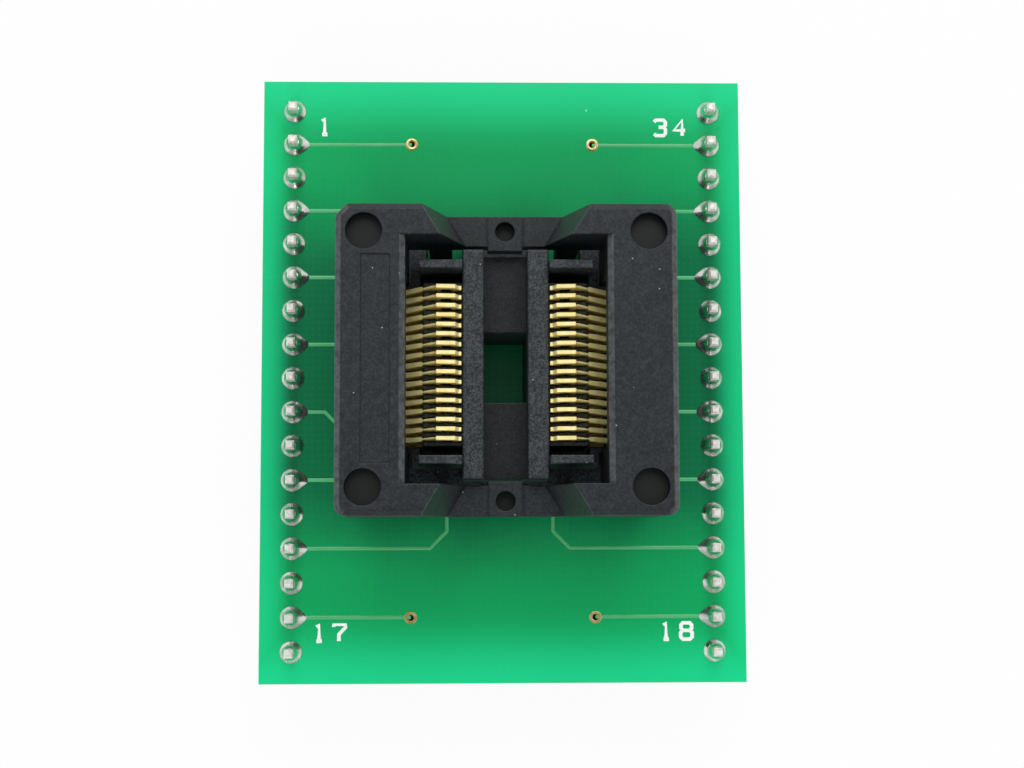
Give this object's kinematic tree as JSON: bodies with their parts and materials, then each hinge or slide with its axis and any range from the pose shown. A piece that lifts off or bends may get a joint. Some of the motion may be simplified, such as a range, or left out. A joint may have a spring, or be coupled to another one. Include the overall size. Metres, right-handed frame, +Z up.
{
  "type": "ic test socket adapter",
  "caption": "Open-top test socket with a press-down cover and swinging gold contacts, on a board with two rows of header pins.",
  "frame": {"origin": "under the middle of the board, on the plane of the header pin tips", "axes": "+Y along the pin rows, the board's long side; +X across them; +Z up out of the socket's mouth"},
  "size_m": [0.0362, 0.0452, 0.0247],
  "materials": {
    "solder_mask": "glossy green solder mask on glass fibre board",
    "gold_plate": "thin gold plating",
    "header_plastic": "black moulded nylon",
    "tinned_pin": "tin plated brass, satin",
    "solder": "bright tin solder",
    "base_moulding": "fine spark-eroded black glass filled plastic",
    "cover_moulding": "satin black glass filled plastic, worn edges",
    "contact_gold": "gold plated beryllium copper, blanked",
    "spring_steel": "drawn stainless wire"
  },
  "bodies": {
    "root": {"circuit_board": "solder_mask", "via_eyelets": "gold_plate", "header_strip_left": "header_plastic", "header_strip_right": "header_plastic", "header_pins_left": "tinned_pin", "header_pins_right": "tinned_pin", "pin_solder_left": "solder", "pin_solder_right": "solder", "tail_solder_left": "solder", "tail_solder_right": "solder", "socket_base": "base_moulding", "contact_stems_left": "contact_gold", "contact_stems_right": "contact_gold", "spring_front_left": "spring_steel", "spring_back_left": "spring_steel", "spring_front_right": "spring_steel", "spring_back_right": "spring_steel"},
    "cover": {"socket_cover": "cover_moulding"},
    "contacts_left": {"contact_arms_left": "contact_gold"},
    "contacts_right": {"contact_arms_right": "contact_gold"}
  },
  "joints": [
    {"name": "cover_press", "type": "slide", "parent": "root", "child": "cover", "axis": [0, 0, -1], "range_m": [0, 0.002], "stiffness_N_per_m": 2500, "springref_m": -0.001, "deforming": ["spring_front_left", "spring_back_left", "spring_front_right", "spring_back_right"]},
    {"name": "left_contacts_open", "type": "hinge", "parent": "root", "child": "contacts_left", "pos_m": [-0.0047, 0, 0.01774], "axis": [0, -1, 0], "range_deg": [0, 22]},
    {"name": "right_contacts_open", "type": "hinge", "parent": "root", "child": "contacts_right", "pos_m": [0.0047, 0, 0.01774], "axis": [0, 1, 0], "range_deg": [0, 22]}
  ],
  "couplings": [
    {"joint": "left_contacts_open", "follows": "cover_press", "rad_per_m": 191.99},
    {"joint": "right_contacts_open", "follows": "cover_press", "rad_per_m": 191.99}
  ]
}
